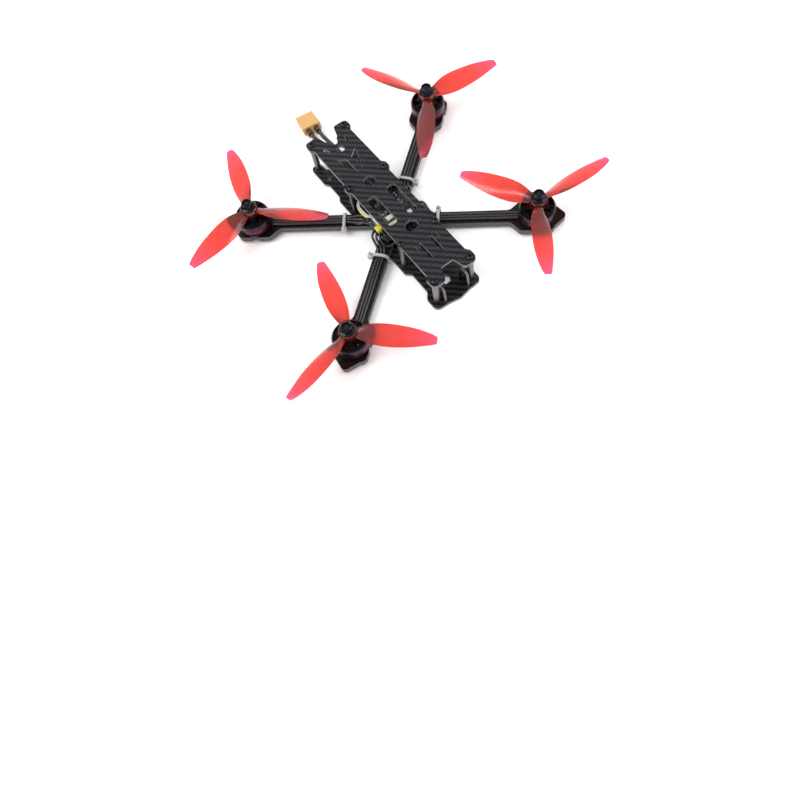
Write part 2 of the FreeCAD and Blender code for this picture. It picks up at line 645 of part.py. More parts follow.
def motor_insides():
    # stators, windings and bearings of all four motors; none of them turns
    tall = size["stator_height"]
    tube = size["bearing_radius"] + 1.0
    core = Part.makeCylinder(tube + 1.2, tall).cut(Part.makeCylinder(tube + 0.02, tall))
    teeth = [stator_tooth().rotate(Vector(), Vector(0, 0, 1), 30 * k) for k in range(12)]
    stator = core.multiFuse(teeth).removeSplitter()
    coil = box(7.0, -1.55, -0.95, size["stator_radius"] - 1.0, 1.55, tall + 0.95)
    coil = coil.makeFillet(0.5, [edge for edge in coil.Edges if abs(edge.tangentAt(edge.FirstParameter).x) > 0.9])
    coil = coil.cut(box(6.0, -0.88, -0.03, 12, 0.88, tall + 0.03))
    bearing = revolved([(size["shaft_radius"], 0), (size["bearing_radius"] - 0.02, 0),
                        (size["bearing_radius"] - 0.02, size["bearing_height"]),
                        (size["shaft_radius"], size["bearing_height"])])
    stators = []
    coils = []
    bearings = []
    for name in CORNERS:
        place = motor_place(name)
        stators += copies(stator, [place * at(0, 0, STATOR_BASE)])
        coils += copies(coil, [place * at(0, 0, STATOR_BASE, 30 * k) for k in range(12)])
        bearings += copies(bearing, [place * at(0, 0, 2.65), place * at(0, 0, MOTOR_HEIGHT - 8.25)])
    keep("motor_stators", stators)
    keep("motor_windings", coils)
    keep("motor_bearings", bearings)
    screws = button_screw(size["arm_thick"] + 1.9)
    screws.rotate(Vector(), Vector(1, 0, 0), 180)
    pitch = size["motor_pitch"] / 2
    places = [motor_place(name) * at(i * pitch, j * pitch, -size["arm_thick"])
              for name in CORNERS for i in (-1, 1) for j in (-1, 1)]
    keep("motor_screws", copies(screws, places))


# ---- propellers ----

def blade_section(reach, chord, sweep, pitch, thick):
    # one slice of a blade that points along +X and turns counter-clockwise
    lead = Vector(reach, sweep + chord / 2, chord / 2 * math.tan(math.radians(pitch)))
    trail = Vector(reach, sweep - chord / 2, -chord / 2 * math.tan(math.radians(pitch)))
    middle = (lead + trail) / 2
    normal = (trail - lead).cross(Vector(1, 0, 0)).normalize()
    if normal.z < 0:
        normal = normal * -1
    camber = 0.045 * chord
    edge = normal * 0.16
    upper = Part.Arc(lead + edge, middle + normal * (camber + thick / 2), trail + edge)
    lower = Part.Arc(trail - edge, middle + normal * (camber - thick / 2), lead - edge)
    rear = Part.LineSegment(trail + edge, trail - edge)
    front = Part.LineSegment(lead - edge, lead + edge)
    return Part.Wire([piece.toShape() for piece in (upper, rear, lower, front)])


def propeller(name, first_blade):
    # three leaf-shaped blades; widest at half radius, cut nearly square at the tip
    tip = size["prop_radius"]
    stations = [(0.075, 6.5, 0.0, 27, 2.8), (0.15, 8.8, 0.2, 31, 2.4), (0.25, 12.4, 0.4, 29, 2.0),
                (0.38, 14.9, 0.4, 25, 1.6), (0.50, 15.4, 0.3, 21.5, 1.4), (0.64, 14.6, 0.3, 18, 1.2),
                (0.77, 12.6, 0.3, 15.5, 1.0), (0.89, 9.4, 0.1, 13.5, 0.9), (0.965, 6.8, -0.2, 12.5, 0.8),
                (1.0, 4.8, -0.4, 12, 0.7)]
    sections = [blade_section(share * tip, chord, sweep, pitch, thick)
                for share, chord, sweep, pitch, thick in stations]
    blade = Part.makeLoft(sections, True, False)
    if SPIN[name] < 0:
        blade = blade.mirror(Vector(), Vector(0, 1, 0))
    middle = size["hub_height"] * 0.4
    blades = [blade.copy().rotate(Vector(), Vector(0, 0, 1), first_blade + 120 * k) for k in range(3)]
    for piece in blades:
        piece.translate(Vector(0, 0, middle))
    hub = size["hub_radius"]
    tall = size["hub_height"]
    bore = size["prop_bore"]
    core = revolved([(bore, 0), (hub - 0.4, 0), (hub, 0.4), (hub - 0.2, tall - 0.6), (hub - 0.8, tall), (bore, tall)])
    shape = core.multiFuse(blades).cut(Part.makeCylinder(bore, 40, Vector(0, 0, -20)))
    x, y = along_arm(ARM_LENGTH, 0, CORNERS[name])
    keep("propeller_" + name, [shape.Solids[0]], at(x, y, SEAT))


def prop_nut(name):
    # flanged M5 lock nut with a rounded crown
    bore = size["prop_bore"]
    crown = revolved([(0, 0), (5.6, 0), (5.6, 0.7), (4.75, 1.3), (4.75, 3.9), (4.1, 4.9), (3.4, 5.4), (0, 5.4)])
    flange = revolved([(0, 0), (5.6, 0), (5.6, 0.7), (4.0, 1.4), (0, 1.4)])
    shape = hex_prism(8.0, 5.4).common(crown).fuse(flange)
    shape = shape.cut(Part.makeCylinder(bore, 12, Vector(0, 0, -1))).removeSplitter()
    x, y = along_arm(ARM_LENGTH, 0, CORNERS[name])
    keep("prop_nut_" + name, [shape], at(x, y, SEAT + size["hub_height"]))


# ---- wires and ties ----

def route(points):
    # straight runs joined by tangent arcs, each as large as its two runs allow
    pieces = []
    radii = []
    start = points[0]
    for before, corner, after in zip(points, points[1:], points[2:]):
        turn = math.pi - (before - corner).getAngle(after - corner)
        shorter = min(before.distanceToPoint(corner), corner.distanceToPoint(after))
        radius = 0.45 * shorter / math.tan(turn / 2)
        arc_start, middle, arc_end = corner_arc(before, corner, after, radius)
        pieces.append(Part.LineSegment(start, arc_start).toShape())
        pieces.append(Part.Arc(arc_start, middle, arc_end).toShape())
        radii.append(round(radius, 1))
        start = arc_end
    pieces.append(Part.LineSegment(start, points[-1]).toShape())
    return Part.Wire(pieces), radii


def swept(path, radius):
    first = path.Edges[0]
    start = first.valueAt(first.FirstParameter)
    ring = Part.Wire(Part.makeCircle(radius, start, first.tangentAt(first.FirstParameter)))
    return path.makePipeShell([ring], True, True)


def motor_leads():
    # three wires per motor lie side by side on the arm and end on the speed controller's pads
    radius = size["lead_radius"]
    rest = ARM_TOP + radius + 0.02
    speed, flight = board_heights()
    pad_level = speed + size["board_thick"] + radius + 0.02
    edge = size["stack_pitch"] / 2 + 3.4
    share = size["stack_pitch"] / 30.5
    solids = []
    for corner in CORNERS.values():
        for lane in (-1, 0, 1):
            gap = lane * (2 * radius + 0.25)
            points = []
            for out in (ARM_LENGTH - 14.2, TIE_OUT[corner[1]] - 5.8 - 0.4 * gap):
                x, y = along_arm(out, gap, corner)
                points.append(Vector(x, y, rest))
            points.append(Vector(corner[0] * (edge + 4.4 - 0.9 * gap), corner[1] * (10.3 * share + 1.35 * gap),
                                 pad_level + 0.9))
            points.append(Vector(corner[0] * (edge - 1.6), corner[1] * (7.6 + 1.35 * gap) * share, pad_level))
            path, radii = route(points)
            solids.append(swept(path, radius))
    keep("motor_leads", solids)


def cable_ties():
    # one nylon tie round each arm and its wires; the heads face the gap between the arms
    side = size["arm_width"] / 2 + 0.15
    low = -0.1
    high = size["arm_thick"] + 2 * size["lead_radius"] + 0.15
    thick = 1.15
    width = 2.2
    outer = [(-side - thick, low - thick, 1.9), (side + thick, low - thick, 1.9), (side + thick, high - 1.2, 2.4),
             (4.2, high + thick, 3), (-4.2, high + thick, 3), (-side - thick, high - 1.2, 2.4)]
    inner = [(-side, low, 0.6), (side, low, 0.6), (side, high - 1.7, 1.4), (3.8, high, 2), (-3.8, high, 2),
             (-side, high - 1.7, 1.4)]
    loop = slab(outer, width).cut(slab(inner, width + 2, -1))
    head = box(-side - 4.6, 1.6, -0.9, -side - 0.4, 6.0, width + 0.9)
    tail = box(-side - 3.2, 5.5, 0.2, -side - 2.1, 9.4, width - 0.2)
    tie = loop.fuse([head.makeFillet(0.5, head.Edges), tail]).removeSplitter()
    # drawn flat: x across the arm, y up, z along the arm
    stand = Rotation(Vector(0, 1, 0), Vector(0, 0, 1), Vector(1, 0, 0), "XYZ")
    solids = []
    for corner in CORNERS.values():
        copy = tie.copy()
        copy.Placement = Placement(Vector(TIE_OUT[corner[1]] - width / 2, 0, ARM_BASE), stand)
        copy.rotate(Vector(), Vector(0, 0, 1), size["arm_angle"])
        if corner[0] < 0:
            copy = copy.mirror(Vector(), Vector(1, 0, 0))
        if corner[1] < 0:
            copy = copy.mirror(Vector(), Vector(0, 1, 0))
        solids.append(copy)
    keep("cable_ties", solids)


# ---- battery lead ----

PLUG_TURN = -9.0
PLUG_DIP = -11.0
PLUG_BACK = Vector(1.4, 121.0, 7.7)


def plug_place():
    # plug frame: +Y runs out of the mouth, X across both contacts
    turn = Rotation(Vector(0, 0, 1), PLUG_TURN).multiply(Rotation(Vector(1, 0, 0), PLUG_DIP))
    return Placement(PLUG_BACK, turn)


def battery_plug():
    half = size["plug_pitch"] / 2
    length = size["plug_length"]
    place = plug_place()
    body = slab([(-8.0, -4.0, 0.6), (8.0, -4.0, 0.6), (8.0, 2.0, 0.6), (6.0, 4.0, 0.6), (-6.0, 4.0, 0.6),
                 (-8.0, 2.0, 0.6)], length)
    mouth = slab([(-6.9, -3.0, 0.4), (6.9, -3.0, 0.4), (6.9, 1.6, 0.4), (5.5, 3.0, 0.4), (-5.5, 3.0, 0.4),
                  (-6.9, 1.6, 0.4)], 9.0, length - 8.5)
    pin_radius = 1.75
    for side in (-1, 1):
        body = body.cut(Part.makeCylinder(pin_radius + 0.02, 40, Vector(side * half, 0, -10)))
        body = body.cut(Part.makeCylinder(2.6, 3.0, Vector(side * half, 0, -0.5)))
    body = body.cut(mouth)
    lay = Placement(Vector(), Rotation(Vector(1, 0, 0), -90))
    body.Placement = lay
    keep("plug_housing", [body], place)
    # contact: gold pin in the mouth and solder cup at the back
    contact = revolved([(0, 0.2), (pin_radius, 0.2), (pin_radius, length - 1.8), (pin_radius - 0.8, length - 1.0),
                        (0, length - 1.0)])
    contact.Placement = lay
    keep("plug_contacts", copies(contact, [at(side * half, 0) for side in (-1, 1)]), place)
    # heat-shrink collars over the soldered ends
    collar = Part.makeCylinder(2.5, 8.5).cut(Part.makeCylinder(size["wire_radius"] + 0.02, 8.5))
    seats = [Placement(Vector(side * half, -6.2, 0), Rotation(Vector(1, 0, 0), -90)) for side in (-1, 1)]
    keep("solder_collars", copies(collar, seats), place)


# free routes from the speed controller to the plug; the last two points of each lie on the plug's own axis
RED_ROUTE = [(-4.6, 21.0, 17.0), (-3.2, 36.5, 16.4), (-1.6, 53.0, 13.7), (-3.6, 70.0, 12.6), (-4.2, 86.0, 12.4),
             (-3.1, 101.0, 11.6)]
BLACK_ROUTE = [(4.6, 21.0, 17.0), (1.8, 35.5, 16.8), (1.9, 53.0, 14.4), (3.4, 70.0, 12.9), (3.8, 86.0, 12.3),
               (2.9, 101.0, 11.4)]


def battery_wire(name, free_points, side):
    radius = size["wire_radius"]
    speed, flight = board_heights()
    start = Vector(*free_points[0])
    start.z = speed + size["board_thick"] + radius + 0.15
    points = [start] + [Vector(*point) for point in free_points[1:]]
    place = plug_place()
    for along in (-9.0, 0.2):
        points.append(place.multVec(Vector(side * size["plug_pitch"] / 2, along, 0)))
    path, radii = route(points)
    tube = swept(path, radius)
    expected = math.pi * radius ** 2 * path.Length
    print(name, "length", round(path.Length, 1), "bend radii", radii, "volume ratio", round(tube.Volume / expected, 4))
    print("  ends", [[round(value, 2) for value in point] for point in points])
    keep(name, [tube])


# ---- build ----

bottom_plate()
clamp_plate()
top_plate()
for arm_name, quadrant in CORNERS.items():
    arm("arm_" + arm_name, quadrant)
camera_bracket("camera_bracket_left", 1)
camera_bracket("camera_bracket_right", -1)
posts_and_screws()
stack_hardware()
electronics()
capacitor_and_receiver()
for corner_name in CORNERS:
    motor_parts(corner_name)
motor_insides()
FIRST_BLADE = {"front_left": 115.9, "front_right": 75.1, "rear_left": 111.3, "rear_right": 73.6}
for corner_name, blade_angle in FIRST_BLADE.items():
    propeller(corner_name, blade_angle)
    prop_nut(corner_name)
motor_leads()
cable_ties()
battery_plug()
battery_wire("battery_wire_red", RED_ROUTE, -1)
battery_wire("battery_wire_black", BLACK_ROUTE, 1)

doc.recompute()
for item in doc.Objects:
    if "Invalid" in item.State or "Error" in item.State:
        raise RuntimeError(item.Label + " failed to build")
os.makedirs("parts", exist_ok=True)
for node in subparts:
    shape = node.Shape
    if shape.isNull() or not shape.isValid() or not shape.Solids:
        raise RuntimeError(node.Label + " has no valid shape")
for node in subparts:
    node.Shape.exportStep("parts/" + node.Label + ".step")
print(len(subparts), "sub-parts written")
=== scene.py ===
import math
import random

import bmesh
import bpy
from mathutils import Matrix, Vector


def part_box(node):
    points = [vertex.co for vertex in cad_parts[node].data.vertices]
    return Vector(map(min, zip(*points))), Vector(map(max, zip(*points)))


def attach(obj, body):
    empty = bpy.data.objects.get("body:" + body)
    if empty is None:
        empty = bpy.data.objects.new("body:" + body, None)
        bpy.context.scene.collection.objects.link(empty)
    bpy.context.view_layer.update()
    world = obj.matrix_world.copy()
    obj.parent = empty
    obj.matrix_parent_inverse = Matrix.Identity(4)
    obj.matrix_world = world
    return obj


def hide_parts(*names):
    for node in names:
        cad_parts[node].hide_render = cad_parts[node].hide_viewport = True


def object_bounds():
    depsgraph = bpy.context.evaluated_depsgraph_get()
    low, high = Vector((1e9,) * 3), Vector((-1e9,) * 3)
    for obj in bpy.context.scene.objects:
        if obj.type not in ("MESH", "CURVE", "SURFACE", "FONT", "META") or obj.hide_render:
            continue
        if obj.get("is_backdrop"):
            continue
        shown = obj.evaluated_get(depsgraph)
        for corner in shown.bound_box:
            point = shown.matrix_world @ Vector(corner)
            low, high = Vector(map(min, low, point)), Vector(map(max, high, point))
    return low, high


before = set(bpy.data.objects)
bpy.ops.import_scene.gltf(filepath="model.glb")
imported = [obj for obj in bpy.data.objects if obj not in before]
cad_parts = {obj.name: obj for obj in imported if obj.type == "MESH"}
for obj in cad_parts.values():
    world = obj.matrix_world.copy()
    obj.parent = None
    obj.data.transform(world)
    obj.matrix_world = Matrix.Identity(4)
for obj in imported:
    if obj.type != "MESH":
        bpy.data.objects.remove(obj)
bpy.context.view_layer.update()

scene = bpy.context.scene
mm = 0.001

# seen steeply from above, ahead of the nose and to its right; the object stands off the axis of the lens
cameraSettings = {
    "azimuth": -20.904, "elevation": 67.186, "roll": -16.343, "distance": 0.5085,
    "aim": (-0.08476, -0.12879, -0.0033), "lens": 31.226, "sensor": 36.0,
}


def makeCamera(name, look):
    turn = math.radians(look["azimuth"])
    rise = math.radians(look["elevation"])
    back = Vector((math.sin(turn) * math.cos(rise), -math.cos(turn) * math.cos(rise), math.sin(rise)))
    data = bpy.data.cameras.new(name)
    data.lens = look["lens"]
    data.sensor_width = look["sensor"]
    data.clip_start = 0.01
    camera = bpy.data.objects.new(name, data)
    scene.collection.objects.link(camera)
    camera.rotation_mode = "QUATERNION"
    level = back.to_track_quat("Z", "Y")
    camera.rotation_quaternion = level @ Matrix.Rotation(math.radians(look["roll"]), 4, "Z").to_quaternion()
    camera.location = Vector(look["aim"]) + back * look["distance"]
    return camera


scene.camera = makeCamera("viewCamera", cameraSettings)
scene.view_settings.view_transform = "Standard"
print("camera placed")


def hexColour(text):
    # sRGB hex to linear
    out = []
    for i in (1, 3, 5):
        part = int(text[i:i + 2], 16) / 255
        out.append(part / 12.92 if part <= 0.04045 else ((part + 0.055) / 1.055) ** 2.4)
    return (*out, 1.0)


def addNode(tree, kind, links=None, **settings):
    # a link that is a socket is joined, anything else is the input's value; settings are the node's own
    node = tree.nodes.new("ShaderNode" + kind)
    for key, value in settings.items():
        setattr(node, key, value)
    for key, value in (links or {}).items():
        if isinstance(value, bpy.types.NodeSocket):
            tree.links.new(value, node.inputs[key])
        else:
            node.inputs[key].default_value = value
    return node


def startMaterial(name, **shader):
    material = bpy.data.materials.new(name)
    material.use_nodes = True
    tree = material.node_tree
    tree.nodes.clear()
    surface = addNode(tree, "BsdfPrincipled", {key.replace("_", " "): value for key, value in shader.items()})
    addNode(tree, "OutputMaterial", {"Surface": surface.outputs[0]})
    return material, tree, surface


def noiseAt(tree, grain, stretch=(1, 1, 1), detail=3.0):
    # noise with features about grain millimetres across, drawn out along the axes with a small stretch
    coords = addNode(tree, "TexCoord").outputs["Object"]
    scaled = addNode(tree, "Mapping", {"Vector": coords, "Scale": [1000 / grain * s for s in stretch]})
    noise = addNode(tree, "TexNoise", {"Vector": scaled.outputs[0], "Scale": 1.0, "Detail": detail})
    return noise.outputs["Fac"]


def noiseLevel(tree, noise, low, high):
    # the middle of the noise spread out between two values
    level = addNode(tree, "MapRange", {"Value": noise, "From Min": 0.3, "From Max": 0.7,
                                       "To Min": low, "To Max": high})
    return level.outputs[0]


def multiplied(tree, colour, factor):
    mixed = addNode(tree, "Mix", {0: 1.0, 6: colour, 7: factor}, data_type="RGBA", blend_type="MULTIPLY")
    return mixed.outputs[2]


def blended(tree, factor, first, second):
    # first colour where the factor is 0, second where it is 1
    return addNode(tree, "Mix", {0: factor, 6: first, 7: second}, data_type="RGBA").outputs[2]


def rampColour(tree, factor, stops):
    ramp = addNode(tree, "ValToRGB", {0: factor})
    ramp.color_ramp.elements[0].color = hexColour(stops[0][1])
    ramp.color_ramp.elements[1].color = hexColour(stops[-1][1])
    for place, colour in stops[1:-1]:
        ramp.color_ramp.elements.new(place).color = hexColour(colour)
    return ramp.outputs[0]


def addRelief(tree, surface, height, depth, strength=0.6):
    # depth in millimetres
    relief = addNode(tree, "Bump", {"Strength": strength, "Distance": depth * mm, "Height": height})
    tree.links.new(relief.outputs[0], surface.inputs["Normal"])


def finish(name, base, second, grain, rough, spread=0.08, bump=0.0, stretch=(1, 1, 1), **shader):
    # a surface whose colour, gloss and relief all vary with one grain
    material, tree, surface = startMaterial(name, **shader)
    noise = noiseAt(tree, grain, stretch)
    colour = blended(tree, noiseLevel(tree, noise, 0.0, 1.0), hexColour(base), hexColour(second))
    tree.links.new(colour, surface.inputs["Base Color"])
    tree.links.new(noiseLevel(tree, noise, rough - spread, rough + spread), surface.inputs["Roughness"])
    if bump:
        addRelief(tree, surface, noise, bump)
    return material


# millimetres; the tows repeat every four, and the plies show at a cut edge. warp and weft are one tow colour
# in painted shade and painted light by direction, armWeft a dimmer painted light for the arms; gap and crown
# scale brightness, painted shade at a tow's edges and a painted highlight on its crown
weave = {
    "tow": 1.7, "repeat": 4.0, "over": 1.5, "warp": "#060607", "weft": "#35353d", "armWeft": "#151518",
    "gap": 0.04, "crown": 1.2, "relief": 0.07, "ply": 0.25, "edgeDark": "#2a2a2c", "edgeLight": "#8e8c8f",
}


def twillCloth(tree, coords, turn, weft):
    # 2 x 2 twill: colour with painted light and shade, and height of the tow that lies on top
    size = 1000 / weave["tow"]
    laid = addNode(tree, "Mapping", {"Vector": coords, "Rotation": turn}).outputs[0]
    placed = addNode(tree, "VectorMath", {0: laid, 1: (size, size, size)}, operation="MULTIPLY").outputs[0]
    split = addNode(tree, "SeparateXYZ", {0: placed})
    cells = [addNode(tree, "Math", {0: split.outputs[axis]}, operation="FLOOR").outputs[0] for axis in (0, 1)]
    count = addNode(tree, "Math", {0: cells[0], 1: cells[1]}, operation="ADD").outputs[0]
    step = addNode(tree, "Math", {0: count, 1: weave["repeat"], 2: 0.0}, operation="WRAP").outputs[0]
    over = addNode(tree, "Math", {0: step, 1: weave["over"]}, operation="LESS_THAN").outputs[0]
    crowns = []
    for axis in (0, 1):
        share = addNode(tree, "Math", {0: split.outputs[axis]}, operation="FRACT").outputs[0]
        angle = addNode(tree, "Math", {0: share, 1: math.pi}, operation="MULTIPLY").outputs[0]
        crowns.append(addNode(tree, "Math", {0: angle}, operation="SINE").outputs[0])
    crown = addNode(tree, "Mix", {0: over, 2: crowns[1], 3: crowns[0]}).outputs[0]
    fibres = []
    for pull in ((9.0, 0.5, 0.5), (0.5, 9.0, 0.5)):
        along = addNode(tree, "VectorMath", {0: placed, 1: pull}, operation="MULTIPLY").outputs[0]
        fibre = addNode(tree, "TexNoise", {"Vector": along, "Scale": 1.0, "Detail": 1.0})
        fibres.append(fibre.outputs["Fac"])
    fibre = addNode(tree, "Mix", {0: over, 2: fibres[1], 3: fibres[0]}).outputs[0]
    # painted highlight along each tow's crown and painted shade at its edges, broken by fibre streaks
    sheen = addNode(tree, "Math", {0: crown, 1: fibre}, operation="MULTIPLY").outputs[0]
    sheen = addNode(tree, "MapRange", {"Value": sheen, "From Min": 0.12, "From Max": 0.56,
                                       "To Min": weave["gap"], "To Max": weave["crown"]}).outputs[0]
    # weft tows lighter than warp tows: painted light and painted shade by tow direction
    tow = blended(tree, over, hexColour(weft), hexColour(weave["warp"]))
    return multiplied(tree, tow, sheen), crown


def cutEdge(tree, coords, flat, strength):
    # where the surface stands upright to the sheet, and the grey and black lines of the plies there
    facing = addNode(tree, "SeparateXYZ", {0: addNode(tree, "NewGeometry").outputs["Normal"]})
    upright = addNode(tree, "Math", {0: facing.outputs[flat]}, operation="ABSOLUTE").outputs[0]
    side = addNode(tree, "MapRange", {"Value": upright, "From Min": 0.75, "From Max": 0.45,
                                      "To Min": 0.0, "To Max": strength}).outputs[0]
    depth = addNode(tree, "SeparateXYZ", {0: coords}).outputs[flat]
    turns = 1000 / weave["ply"] * math.pi
    wave = addNode(tree, "Math", {0: depth, 1: turns}, operation="MULTIPLY").outputs[0]
    wave = addNode(tree, "Math", {0: wave}, operation="SINE").outputs[0]
    ply = addNode(tree, "MapRange", {"Value": wave, "From Min": -1.0, "From Max": 1.0,
                                     "To Min": 0.1, "To Max": 0.9}).outputs[0]
    return side, blended(tree, ply, hexColour(weave["edgeDark"]), hexColour(weave["edgeLight"]))


def carbonSheet(name, turn=(0, 0, 0), edge=1.0, weft=weave["weft"]):
    # woven carbon in epoxy, cut from sheet: the tows' light and shade by direction is painted into the
    # colour, plies show at the cut edge
    material, tree, surface = startMaterial(name, Roughness=0.38, Specular_IOR_Level=0.22,
                                            Coat_Weight=0.05, Coat_Roughness=0.25)
    coords = addNode(tree, "TexCoord").outputs["Object"]
    cloth, crown = twillCloth(tree, coords, turn, weft)
    flat = 0 if turn[1] else 2
    side, plies = cutEdge(tree, coords, flat, edge)
    tree.links.new(blended(tree, side, cloth, plies), surface.inputs["Base Color"])
    addRelief(tree, surface, crown, weave["relief"], strength=0.5)
    return material


armTurn = math.radians(38.7)
carbonPlate = carbonSheet("wovenCarbonPlate")
carbonBracket = carbonSheet("wovenCarbonBracket", turn=(0, math.pi / 2, 0))
# the arms' weft tows get a dimmer painted light
carbonArm = {
    side: carbonSheet(name, turn=(0, 0, -side * armTurn), edge=0.5, weft=weave["armWeft"])
    for side, name in ((1, "wovenCarbonArmLeft"), (-1, "wovenCarbonArmRight"))
}


# metres from the shaft, and the tint from hub to tip
bladeSettings = {
    "hub": 0.006, "tip": 0.066,
    "stops": [(0.0, "#c42c20"), (0.25, "#df3828"), (0.6, "#e63c34"), (0.85, "#ec4658"), (1.0, "#ee4c82")],
}


def tintedBlade(name, centre):
    # moulded polycarbonate, clear tinted red: glossy, lets light through, pinker where it thins to the tip
    material, tree, surface = startMaterial(name, Roughness=0.16, Transmission_Weight=0.9, IOR=1.49,
                                            Coat_Weight=0.1, Coat_Roughness=0.08)
    coords = addNode(tree, "TexCoord").outputs["Object"]
    moved = addNode(tree, "Mapping", {"Vector": coords, "Location": [-c for c in centre]}).outputs[0]
    level = addNode(tree, "VectorMath", {0: moved, 1: (1, 1, 0)}, operation="MULTIPLY").outputs[0]
    reach = addNode(tree, "VectorMath", {0: level}, operation="LENGTH").outputs[1]
    share = addNode(tree, "MapRange", {"Value": reach, "From Min": bladeSettings["hub"],
                                       "From Max": bladeSettings["tip"]})
    tint = rampColour(tree, share.outputs[0], bladeSettings["stops"])
    flow = noiseLevel(tree, noiseAt(tree, 6.0, detail=2.0), 0.93, 1.0)
    tree.links.new(multiplied(tree, tint, flow), surface.inputs["Base Color"])
    tree.links.new(noiseLevel(tree, noiseAt(tree, 1.2), 0.12, 0.2), surface.inputs["Roughness"])
    return material


# heights in metres, turning rings in millimetres
bellSettings = {
    "foot": 0.0105, "crown": 0.0227, "ring": 0.35,
    "stops": [(0.0, "#6a1f42"), (0.2, "#7c2c52"), (0.3, "#3a3038"), (0.6, "#3d3740"), (0.72, "#141416"),
              (1.0, "#0f0f11")],
}


def anodisedBell(name):
    # turned and anodised aluminium: black crown, gunmetal wall with fine turning rings, wine-red lower rim
    material, tree, surface = startMaterial(name, Metallic=1.0)
    height = addNode(tree, "SeparateXYZ", {0: addNode(tree, "TexCoord").outputs["Object"]}).outputs[2]
    share = addNode(tree, "MapRange", {"Value": height, "From Min": bellSettings["foot"],
                                       "From Max": bellSettings["crown"]})
    dye = rampColour(tree, share.outputs[0], bellSettings["stops"])
    rings = noiseAt(tree, bellSettings["ring"], stretch=(0.03, 0.03, 1))
    tree.links.new(multiplied(tree, dye, noiseLevel(tree, rings, 0.75, 1.1)), surface.inputs["Base Color"])
    tree.links.new(noiseLevel(tree, rings, 0.2, 0.36), surface.inputs["Roughness"])
    return material


# patterns to the metre: tracks about 1.5 mm long, and a plated hole about every 2 mm
solderMask = {"trackScale": 330.0, "viaScale": 520.0, "viaSize": 0.17}


def circuitBoard(name):
    # glass epoxy under black solder mask: a glossy skin, faint tracks beneath and rows of gilt pads
    material, tree, surface = startMaterial(name, Roughness=0.3, Coat_Weight=0.5, Coat_Roughness=0.12)
    coords = addNode(tree, "TexCoord").outputs["Object"]
    tracks = addNode(tree, "TexBrick", {
        "Vector": coords, "Color1": hexColour("#10141c"), "Color2": hexColour("#161c27"),
        "Mortar": hexColour("#2a3547"), "Scale": solderMask["trackScale"], "Mortar Size": 0.05})
    dots = addNode(tree, "TexVoronoi", {"Vector": coords, "Scale": solderMask["viaScale"],
                                        "Randomness": 0.35})
    via = addNode(tree, "Math", {0: dots.outputs["Distance"], 1: solderMask["viaSize"]},
                  operation="LESS_THAN")
    skin = blended(tree, via.outputs[0], tracks.outputs[0], hexColour("#b08d4a"))
    tree.links.new(skin, surface.inputs["Base Color"])
    return material


def sleevedCan(name, low, high):
    # aluminium can in a shrunk PVC sleeve: dark satin wall, bright metal at both ends
    material, tree, surface = startMaterial(name, Roughness=0.3)
    rim = 0.0004
    along = addNode(tree, "SeparateXYZ", {0: addNode(tree, "TexCoord").outputs["Object"]}).outputs[1]
    off = addNode(tree, "Math", {0: along, 1: (low + high) / 2}, operation="SUBTRACT").outputs[0]
    off = addNode(tree, "Math", {0: off}, operation="ABSOLUTE").outputs[0]
    bare = addNode(tree, "Math", {0: off, 1: (high - low) / 2 - rim}, operation="GREATER_THAN").outputs[0]
    wall = blended(tree, noiseAt(tree, 3.0), hexColour("#14161f"), hexColour("#1d2233"))
    tree.links.new(blended(tree, bare, wall, hexColour("#b9babc")), surface.inputs["Base Color"])
    tree.links.new(bare, surface.inputs["Metallic"])
    return material


def boardSockets(name):
    # nylon connector shells: cream on the right half of the board, dark brown on the left
    material, tree, surface = startMaterial(name, Roughness=0.44)
    across = addNode(tree, "SeparateXYZ", {0: addNode(tree, "TexCoord").outputs["Object"]}).outputs[0]
    left = addNode(tree, "Math", {0: across, 1: 0.0}, operation="GREATER_THAN").outputs[0]
    grain = noiseAt(tree, 1.2)
    cream = blended(tree, grain, hexColour("#bdb8a8"), hexColour("#d6d0bf"))
    brown = blended(tree, grain, hexColour("#2b2725"), hexColour("#4a443d"))
    tree.links.new(blended(tree, left, cream, brown), surface.inputs["Base Color"])
    return material


# anodised aluminium, turned: grey with a warm cast and fine rings
postMetal = finish("greyAnodisedAluminium", "#6f6a69", "#8b8482", 0.5, 0.34, stretch=(0.05, 0.05, 1),
                   Metallic=1.0)
# black oxide steel, rolled and headed: near black, small bright highlights
blackSteel = finish("blackOxideSteel", "#26262a", "#35353a", 0.8, 0.26, bump=0.01, Metallic=1.0)
# black anodised nut, milled: deeper black, glossy
nutMetal = finish("blackAnodisedNut", "#1a1b1e", "#2b2c31", 1.2, 0.2, spread=0.06, bump=0.015, Metallic=1.0)
# ground steel: bright, soft lines round the bearing
bearingSteel = finish("groundSteel", "#b4b4b6", "#cfcfd0", 0.3, 0.24, stretch=(0.05, 0.05, 1), Metallic=1.0)
# nickel plated magnets: bright with slightly warm mottling
magnetNickel = finish("nickelPlate", "#a9a6a2", "#c8c4bd", 0.7, 0.28, Metallic=1.0)
# base of cast and anodised aluminium: black with a wine cast, satin
baseMetal = finish("wineBlackAnodised", "#241a20", "#38242e", 1.5, 0.34, bump=0.01, Metallic=1.0)
# stator laminations under black epoxy: stacked sheets as thin lines
statorSteel = finish("coatedLaminations", "#141416", "#2a2a2c", 0.35, 0.45, stretch=(0.02, 0.02, 1),
                     bump=0.03)
# enamelled copper wire: close windings, wine red with varnish gloss; the colour is darkened with painted
# shade for the inside of the bells
windingCopper = finish("enamelledCopper", "#4a1826", "#8a3430", 0.45, 0.3, stretch=(0.1, 0.1, 1), bump=0.08,
                       Metallic=0.8, Coat_Weight=0.6, Coat_Roughness=0.1)
